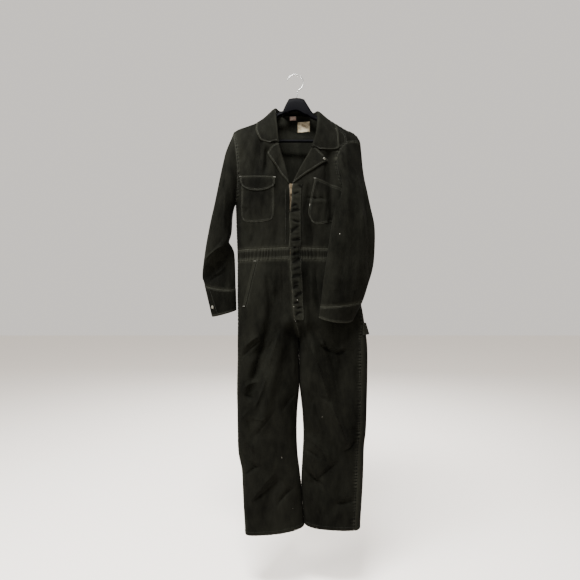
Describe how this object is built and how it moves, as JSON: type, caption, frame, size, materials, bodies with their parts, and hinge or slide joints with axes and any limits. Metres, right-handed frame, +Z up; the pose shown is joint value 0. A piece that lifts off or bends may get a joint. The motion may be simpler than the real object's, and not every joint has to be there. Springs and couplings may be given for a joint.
{
  "type": "boiler suit on a hanger",
  "caption": "Long-sleeved work boiler suit in dark olive drill with a spread collar, chest pockets and a front zip, hanging open-necked on a black plastic hanger with a wire hook.",
  "frame": {"origin": "the underside of the hanger hook's bend, where it bears on a peg", "axes": "+X the viewer's right (the wearer's left), -Y the front of the suit, +Z up"},
  "size_m": [0.6276, 0.1698, 1.6897],
  "materials": {
    "drill": "faded dark olive cotton drill",
    "zip_brass": "dulled brass teeth and slider on olive tape",
    "snap_metal": "worn snap caps",
    "label_white": "blank woven label",
    "label_cream": "blank printed-cotton label",
    "hanger_plastic": "black moulded plastic",
    "hook_steel": "bright plated wire"
  },
  "bodies": {
    "suit": {"front_bodice_right": "drill", "front_bodice_left": "drill", "back_bodice": "drill", "waistband_front_right": "drill", "waistband_front_left": "drill", "waistband_back": "drill", "front_leg_right": "drill", "back_leg_right": "drill", "front_leg_left": "drill", "back_leg_left": "drill", "sleeve_right": "drill", "sleeve_left": "drill", "cuff_right": "drill", "cuff_left": "drill", "collar": "drill", "lapel_right": "drill", "lapel_left": "drill", "chest_pocket_right": "drill", "chest_flap_right": "drill", "chest_pocket_left": "drill", "fly_placket": "drill", "hip_pocket_welt_right": "drill", "hip_pocket_welt_left": "drill", "hammer_loop": "drill", "zip": "zip_brass", "zip_slider": "zip_brass", "lapel_snap": "snap_metal", "cuff_snap": "snap_metal", "neck_label": "label_white", "size_label": "label_cream", "hanger_body": "hanger_plastic", "hanger_bar": "hanger_plastic", "hanger_hook": "hook_steel"},
    "pull_tab": {"zip_pull_tab": "zip_brass"}
  },
  "joints": [
    {"name": "pull_tab_hinge", "type": "hinge", "parent": "suit", "child": "pull_tab", "pos_m": [-0.019, -0.06632, -0.42528], "axis": [-1, 0, 0], "range_deg": [0, 120]}
  ]
}
